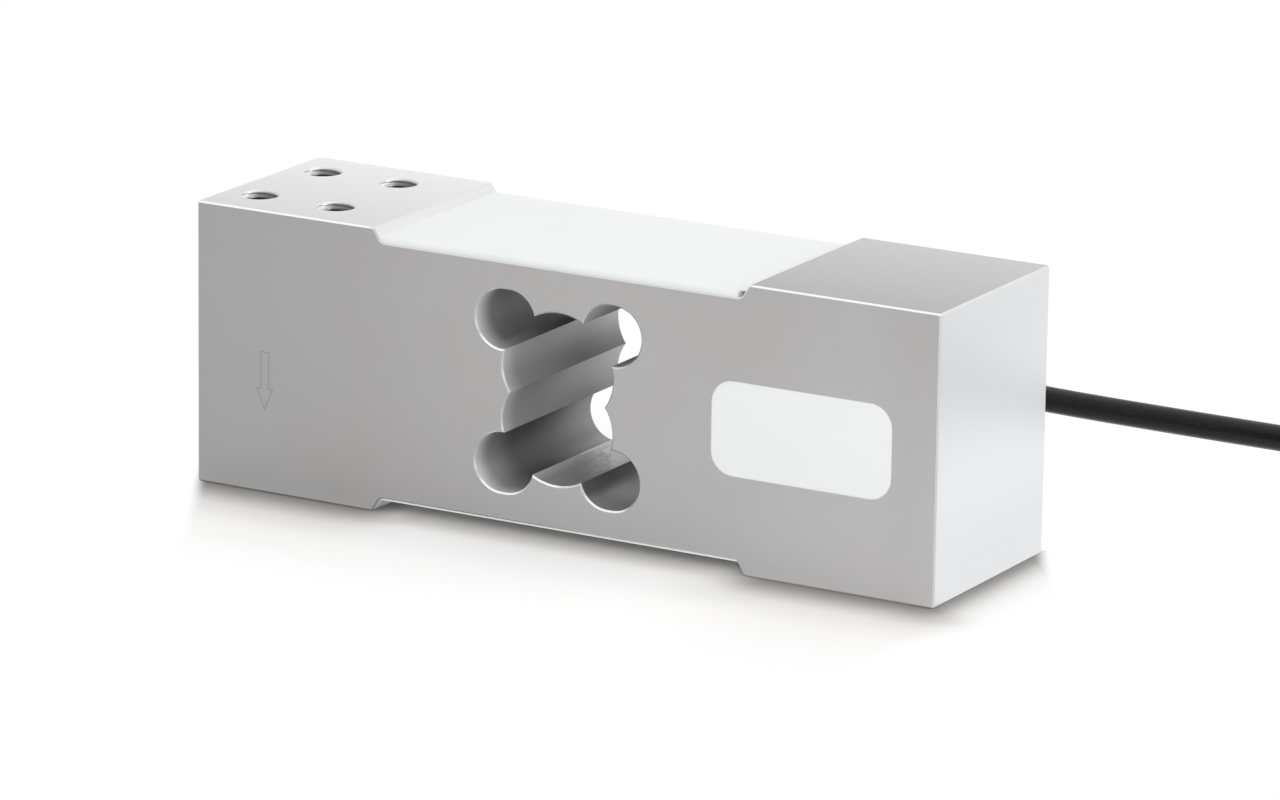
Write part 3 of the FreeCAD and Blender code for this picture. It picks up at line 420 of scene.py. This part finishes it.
def gauge_film():
    """Amber polyimide of a foil gauge, slightly mottled."""
    finish = Finish("gauge_film", {"Metallic": 0.2, "IOR": 1.5})
    mottle = finish.noise(1500, 1500, 1500, 3.0)
    finish.drive(
        Base_Color=finish.blend(mottle, rgb(168, 112, 48), rgb(190, 136, 66)),
        Roughness=0.3 + mottle * 0.2,
        Normal=finish.bump(mottle, 0.005 * MM))
    return finish.material


def plain_metal(name, dark, light, roughness):
    """A small metal part: mottled, with fine scratches."""
    finish = Finish(name, {"Metallic": 0.9, "IOR": 1.5})
    mottle = finish.noise(900, 900, 900, 4.0, 0.6)
    scratch = finish.noise(300, 6000, 6000, 3.0)
    finish.drive(
        Base_Color=finish.blend(mottle, dark, light),
        Roughness=roughness + scratch * 0.15,
        Normal=finish.bump(scratch, 0.004 * MM))
    return finish.material


def plain_plastic(name, dark, light, roughness, cells=1200):
    """A small moulded or extruded part: slightly uneven in colour and gloss."""
    finish = Finish(name, {"Metallic": 0.0, "IOR": 1.5})
    skin = finish.noise(cells, cells, cells, 3.0, 0.6)
    finish.drive(
        Base_Color=finish.blend(skin, dark, light),
        Roughness=roughness + skin * 0.15,
        Normal=finish.bump(skin, 0.01 * MM))
    return finish.material


FINISHES = {
    "machined_aluminium": machined_aluminium(),
    "white_potting": white_potting(),
    "cable_jacket": cable_jacket(),
    "boot_rubber": boot_rubber(),
    "gauge_film": gauge_film(),
}

PLAIN_METALS = {
    "tinned_wire": (rgb(176, 178, 182), rgb(214, 216, 220), 0.3),
    "ferrule_brass": (rgb(176, 140, 72), rgb(206, 170, 96), 0.3),
}

PLAIN_PLASTICS = {
    "terminal_film": (rgb(150, 96, 40), rgb(176, 120, 58), 0.35),
    "lead_insulation": (rgb(196, 60, 42), rgb(214, 78, 56), 0.4),
    "board_laminate": (rgb(24, 84, 52), rgb(34, 104, 66), 0.4, 2500),
    "chip_ceramic": (rgb(28, 28, 30), rgb(46, 46, 50), 0.45),
    "black_insulation": (rgb(20, 20, 20), rgb(34, 34, 34), 0.35),
    "red_insulation": (rgb(158, 22, 20), rgb(180, 34, 30), 0.35),
    "white_insulation": (rgb(214, 214, 210), rgb(228, 228, 226), 0.35),
    "green_insulation": (rgb(20, 104, 52), rgb(32, 124, 64), 0.35),
}

for label, look in PLAIN_METALS.items():
    FINISHES[label] = plain_metal(label, *look)
for label, look in PLAIN_PLASTICS.items():
    FINISHES[label] = plain_plastic(label, *look)


def dress_frame():
    """Gives every carried-over node the finish that the record names for it."""
    for part in frame["record"]["subparts"]:
        node = frame["nodes"][part["node"]]
        for place in node.material_slots:
            place.material = FINISHES[part["material_slot"]]


dress_frame()


# Meshes

def make_mesh(name, points, quads, slot):
    """A piece from its points and four-cornered faces, in place and riding on the one body."""
    mesh = bpy.data.meshes.new(name)
    mesh.from_pydata(points.reshape(-1, 3).tolist(), [], quads.tolist())
    mesh.update()
    mesh.materials.append(FINISHES[slot])
    piece = new_object(name, mesh)
    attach(piece, "root")


def ring_quads(rows, columns, flip=False):
    """Faces of a grid that closes on itself both ways."""
    row, column = np.meshgrid(np.arange(rows), np.arange(columns), indexing="ij")
    after_row = (row + 1) % rows
    after_column = (column + 1) % columns
    corners = [row * columns + column, row * columns + after_column,
               after_row * columns + after_column, after_row * columns + column]
    quads = np.stack(corners, axis=-1).reshape(-1, 4)
    return quads[:, ::-1] if flip else quads


# Screw threads in the tapped holes

THREAD_PITCH = 1.25 * MM
THREAD_HEIGHT = 0.6 * MM
THREAD_START = 0.35 * MM
THREAD_END = HOLE_DEPTH - 1.0 * MM
THREAD_FADE_IN = 0.9 * MM
THREAD_FADE_OUT = 1.5 * MM
SLEEVE_LIFT = 0.012 * MM
SLEEVE_BACK = 0.06 * MM
SLEEVE_GRID = (120, 64)


def make_thread(name, x, y, upper):
    """The ridges of one tapped hole as a thin sleeve.

    Radius = hole radius less the ridge height times a flattened triangle wave of depth over pitch
    plus angle over a full turn. The ridges fade in below the mouth and fade out near the drill
    point. The sleeve's back lies just inside the hole's wall.
    """
    rows, around = SLEEVE_GRID
    angle = np.linspace(0, 2 * np.pi, around, endpoint=False)[None, :]
    depth = np.linspace(THREAD_START, THREAD_END, rows)[:, None]
    hand = 1 if upper else -1
    phase = (depth / THREAD_PITCH + hand * angle / (2 * np.pi)) % 1.0
    wave = np.clip(1.3 * (1 - np.abs(2 * phase - 1)) - 0.18, 0, 1)
    fade_in = np.clip((depth - THREAD_START) / THREAD_FADE_IN, 0, 1)
    fade_out = np.clip((THREAD_END - depth) / THREAD_FADE_OUT, 0, 1)
    inner = HOLE_RADIUS - SLEEVE_LIFT - THREAD_HEIGHT * wave * fade_in * fade_out
    radius = np.vstack([inner, np.full((2, around), HOLE_RADIUS + SLEEVE_BACK)])
    depths = np.vstack([depth, depth[-1:], depth[:1]])
    z = (HEIGHT - depths if upper else depths) + 0 * radius
    points = np.stack([x + radius * np.cos(angle), y + radius * np.sin(angle), z], axis=-1)
    make_mesh(name, points, ring_quads(rows + 2, around, flip=not upper), "machined_aluminium")


def make_threads():
    """Four holes in the upper left pad and four under the right pad."""
    for upper, label in ((True, "platform"), (False, "base")):
        places = [(-x if upper else x, y) for x in HOLE_X for y in (-HOLE_Y, HOLE_Y)]
        for number, (x, y) in enumerate(places, start=1):
            make_thread(f"{label}_thread_{number}", x, y, upper)


make_threads()


# Load arrow cut into the front face

ARROW_X = -71.1 * MM
ARROW_OUTLINE = np.array([(-0.95, 30.5), (0.95, 30.5), (0.95, 22.6), (1.9, 22.6),
                          (0.0, 18.1), (-1.9, 22.6), (-0.95, 22.6)]) * MM
ARROW_SECTION = np.array([(-0.16, -0.05), (-0.16, 0.003), (-0.11, 0.012), (-0.05, 0.004),
                          (0.05, 0.004), (0.11, 0.012), (0.16, 0.003), (0.16, -0.05)]) * MM


def make_arrow():
    """The outline of a downward arrow as a shallow scored line.

    The line's cross-section, two low lips and a sunk middle, is carried round the outline. At each
    corner it is offset along the mitre, the sum of the two edge normals over one plus their
    product.
    """
    onward = np.roll(ARROW_OUTLINE, -1, axis=0) - ARROW_OUTLINE
    onward /= np.linalg.norm(onward, axis=1, keepdims=True)
    normal = np.stack([onward[:, 1], -onward[:, 0]], axis=1)
    before = np.roll(normal, 1, axis=0)
    mitre = (normal + before) / (1 + np.sum(normal * before, axis=1, keepdims=True))
    flat = ARROW_OUTLINE[:, None, :] + mitre[:, None, :] * ARROW_SECTION[None, :, :1]
    x = flat[..., 0] + ARROW_X
    y = np.broadcast_to(-HALF_WIDTH - ARROW_SECTION[None, :, 1], x.shape)
    points = np.stack([x, y, flat[..., 1]], axis=-1)
    quads = ring_quads(len(ARROW_OUTLINE), len(ARROW_SECTION))
    make_mesh("load_arrow", points, quads, "machined_aluminium")


make_arrow()


# Signal cable: out of the rear face, along behind the block, a tied coil, the free end

COIL = (0.194, 0.025)
TURN_ROWS = (19.75 * MM, 14.25 * MM, 8.75 * MM, 3.25 * MM)
TURN_RADII = (39.25 * MM, 33.75 * MM, 28.25 * MM, 22.75 * MM)
SHORT_ROWS = 2
LAST_SHARE = 0.25
SLIDE_SHARE = 0.3
TURN_POINTS = 16

free_run = [
    (0.0440, 0.0240, 0.0270),
    (0.0440, 0.0410, 0.0270),
    (0.0523, 0.0560, 0.0241),
    (0.0672, 0.0652, 0.0203),
    (0.0980, 0.0659, 0.0198),
    (0.1340, 0.0653, 0.0199),
    (0.1680, 0.0649, 0.0199),
]

tail_run = [
    (0.2340, 0.0100, 0.0033),
    (0.2346, -0.0060, 0.0032),
]


def coil_turns():
    """Control points of the coil's turns, clockwise from its north side to its east side.

    The angle falls evenly. Each turn keeps its radius and height for most of its way and slides to
    the next one's over the last part. The rows are wound inwards and outwards by turns, from the
    top down, and the upper rows leave out the innermost turn.
    """
    layers = []
    for row, height in enumerate(TURN_ROWS):
        radii = TURN_RADII[:-1] if row < SHORT_ROWS else TURN_RADII
        layers += [(radius, height) for radius in (radii if row % 2 == 0 else radii[::-1])]
    layers = np.array(layers)
    turn = np.arange(int((len(layers) + LAST_SHARE) * TURN_POINTS)) / TURN_POINTS
    index = np.minimum(turn.astype(int), len(layers) - 1)
    after = np.minimum(index + 1, len(layers) - 1)
    slide = np.clip((turn - index - (1 - SLIDE_SHARE)) / SLIDE_SHARE, 0, 1)
    slide = (slide * slide * (3 - 2 * slide))[:, None]
    radius, height = (layers[index] * (1 - slide) + layers[after] * slide).T
    angle = np.pi / 2 - 2 * np.pi * turn
    x = COIL[0] + radius * np.cos(angle)
    y = COIL[1] + radius * np.sin(angle)
    return np.stack([x, y, height], axis=1)


def make_cable():
    """The jacket as one open spline of order 3 through the route's control points."""
    points = np.vstack([free_run, coil_turns(), tail_run])
    curve = bpy.data.curves.new("signal_cable", "CURVE")
    curve.dimensions = "3D"
    spline = curve.splines.new("NURBS")
    spline.points.add(len(points) - 1)
    spline.points.foreach_set("co", np.hstack([points, np.ones((len(points), 1))]).ravel())
    spline.order_u = 3
    spline.use_endpoint_u = True
    spline.resolution_u = 4
    curve.bevel_depth = CABLE_RADIUS
    curve.bevel_resolution = 5
    curve.use_fill_caps = True
    curve.materials.append(FINISHES["cable_jacket"])
    cable = new_object("signal_cable", curve)
    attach(cable, "root")
    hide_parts("cable_run", "cable_coil", "cable_tail")


make_cable()


# Floor, background and light

FLOOR_HALF = 4.0
FLOOR_Z = -0.0001
FOOT_MIDDLE = 66.25 * MM
FOOT_HALF = 21.75 * MM
CARD_Y = -1.7
WHITE = grey(1.0)


def make_stage(name, corners, finish):
    """One flat sheet that isn't part of the object."""
    mesh = bpy.data.meshes.new(name)
    mesh.from_pydata(corners, [], [(0, 1, 2, 3)])
    mesh.materials.append(finish.material)
    sheet = new_object(name, mesh)
    return sheet


def make_floor():
    """A pale floor: lit paper that keeps the shadow beside the object, plain white further out.

    Its colour carries a painted shadow over the real one, darkest in the crease along the two pads
    that stand on it. In reflections the floor is pale behind the object and darker on the viewer's
    side.
    """
    finish = Finish("floor_paper", {"Roughness": 0.9, "Specular IOR Level": 0.0})
    x, y, _ = finish.axes(finish.place)

    # Distances on the floor from the block's outline and from its pads, the right one drawn in
    past_side = (abs(y) - HALF_WIDTH).math("MAXIMUM", 0.0)
    past_end = (abs(x) - HALF_LENGTH).math("MAXIMUM", 0.0)
    drawn_in = 3.0 * MM * x.above(0.0, 1.0 * MM)
    from_middle = abs(abs(x) - FOOT_MIDDLE - drawn_in)
    past_pad = (from_middle - FOOT_HALF + drawn_in).math("MAXIMUM", 0.0)
    from_pads = distance(past_pad, past_side)
    from_block = distance(past_end, past_side)

    # Stretches of the floor; line_of_sight stays the same along an upright line of the photograph
    line_of_sight = x + y * 0.575
    between = abs(x).below(40.0 * MM, 14.0 * MM)
    beyond = x.above(89.0 * MM, 3.0 * MM) * y.above(-27.0 * MM, 5.0 * MM)
    right = x.above(52.0 * MM, 24.0 * MM) * (1.0 - beyond) * x.below(96.0 * MM, 6.0 * MM)
    right_end = right * x.above(82.0 * MM, 5.0 * MM)
    pad_corner = x.near(-41.0 * MM, 4.5 * MM, 3.0 * MM)
    near_side = y.below(-20.0 * MM, 8.0 * MM)

    # How much of its lightness the paper keeps: a painted shadow, darkest in the crease along the
    # pads and a little lighter by the recess's left flank
    kept = 0.38 + 0.62 * from_pads.above(6.5 * MM, 7.5 * MM)
    kept = kept * (1.0 - 0.1 * from_block.below(18.0 * MM, 8.0 * MM))
    kept = kept * (1.0 - 0.2 * between * from_block.below(3.5 * MM, 4.0 * MM))
    kept = kept * (1.0 - right * (0.08 + 0.02 * from_block.above(14.0 * MM, 8.0 * MM)))
    kept = kept * (1.0 - 0.07 * right_end * from_block.below(14.0 * MM, 6.0 * MM))
    kept = kept * (1.0 - 0.1 * beyond * from_block.below(2.5 * MM, 2.0 * MM))
    kept = kept * (1.0 + 0.45 * pad_corner * from_block.below(3.0 * MM, 4.0 * MM))
    # Painted warm tint in the shadow near the block, turning into the paper's own faint tint
    # further out
    paper_and_shadow_tint = finish.blend(from_block.above(8.0 * MM, 8.0 * MM),
                        (1.0, 0.965, 0.93, 1.0), (1.0, 0.987, 0.972, 1.0))

    # Where it turns plain white
    clear = from_block.above(5.0 * MM, 5.0 * MM)
    lift = 0.5 * between * clear + 0.62 * beyond * clear
    lift = lift + 0.3 * (1.0 - between) * (1.0 - right) * from_block.above(19.0 * MM, 7.0 * MM)
    plain = largest(
        from_block.above(38.0 * MM, 22.0 * MM),
        line_of_sight.below(-101.3 * MM, 2.0 * MM),
        lift,
        x.above(40.0 * MM, 10.0 * MM) * y.above(25.0 * MM, 1.5 * MM),
        x.above(87.0 * MM, 1.0 * MM) * line_of_sight.above(101.6 * MM, 2.2 * MM))

    seen = finish.node("ShaderNodeLightPath", {}, {}, "Is Camera Ray")
    mirrored = finish.node("ShaderNodeLightPath", {}, {}, "Is Glossy Ray")
    reflected = finish.blend(mirrored * near_side, grey(0.9), grey(0.42))
    finish.drive(Base_Color=finish.blend(seen, reflected, finish.shaded(paper_and_shadow_tint, kept)))
    lit = Signal(finish, finish.shader.outputs[0])
    white = finish.node("ShaderNodeEmission", {}, {"Color": WHITE, "Strength": 1.0})
    shown = finish.node("ShaderNodeMixShader", {}, {
        0: seen * plain + mirrored * (1.0 - near_side), 1: lit, 2: white})
    finish.put(finish.tree.nodes["Material Output"].inputs[0], shown)
    make_stage("floor", [(-FLOOR_HALF, -FLOOR_HALF, FLOOR_Z), (FLOOR_HALF, -FLOOR_HALF, FLOOR_Z),
                         (FLOOR_HALF, FLOOR_HALF, FLOOR_Z), (-FLOOR_HALF, FLOOR_HALF, FLOOR_Z)],
               finish)


def make_flag():
    """A dark card on the viewer's side, which the front face reflects, unseen by the camera."""
    finish = Finish("flag_card", {"Roughness": 0.9, "Specular IOR Level": 0.0,
                                  "Base Color": grey(0.4)})
    card = make_stage("flag", [(-2.5, CARD_Y, 0.0), (2.5, CARD_Y, 0.0),
                               (2.5, CARD_Y, 1.8), (-2.5, CARD_Y, 1.8)], finish)
    card.visible_camera = False
    card.visible_diffuse = False
    card.visible_shadow = False


def make_world():
    """White where it is seen directly or in a reflection, and a softer grey as a light."""
    world = bpy.data.worlds.new("studio")
    bpy.context.scene.world = world
    world.use_nodes = True
    nodes = Nodes(world.node_tree)
    rays = [nodes.node("ShaderNodeLightPath", {}, {}, f"Is {kind} Ray")
            for kind in ("Camera", "Glossy", "Transmission")]
    strength = nodes.node("ShaderNodeMapRange", {}, {
        "Value": largest(*rays), "To Min": 0.8, "To Max": 1.0})
    background = world.node_tree.nodes["Background"]
    nodes.put(background.inputs["Strength"], strength)
    nodes.put(background.inputs["Color"], WHITE)


def add_lamp(name, place, target, size, watts):
    """A soft box that faces the target."""
    light = bpy.data.lights.new(name, "AREA")
    light.shape = "RECTANGLE"
    light.size, light.size_y = size
    light.energy = watts
    lamp = new_object(name, light)
    lamp.location = place
    lamp.rotation_mode = "QUATERNION"
    lamp.rotation_quaternion = (Vector(target) - Vector(place)).to_track_quat("-Z", "Y")
    return lamp


make_floor()
make_flag()
make_world()
add_lamp("top_box", (0.1, 0.35, 1.3), (0.0, 0.0, 0.03), (1.2, 1.0), 2.0)
add_lamp("right_box", (1.3, 0.3, 0.5), (0.088, 0.0, 0.03), (0.8, 0.8), 8.0)
front_fill = add_lamp("front_fill", (0.9, -1.2, 0.6), (0.0, 0.0, 0.03), (0.8, 0.8), 6.0)
front_fill.visible_glossy = False

bpy.context.scene.view_settings.view_transform = "Standard"
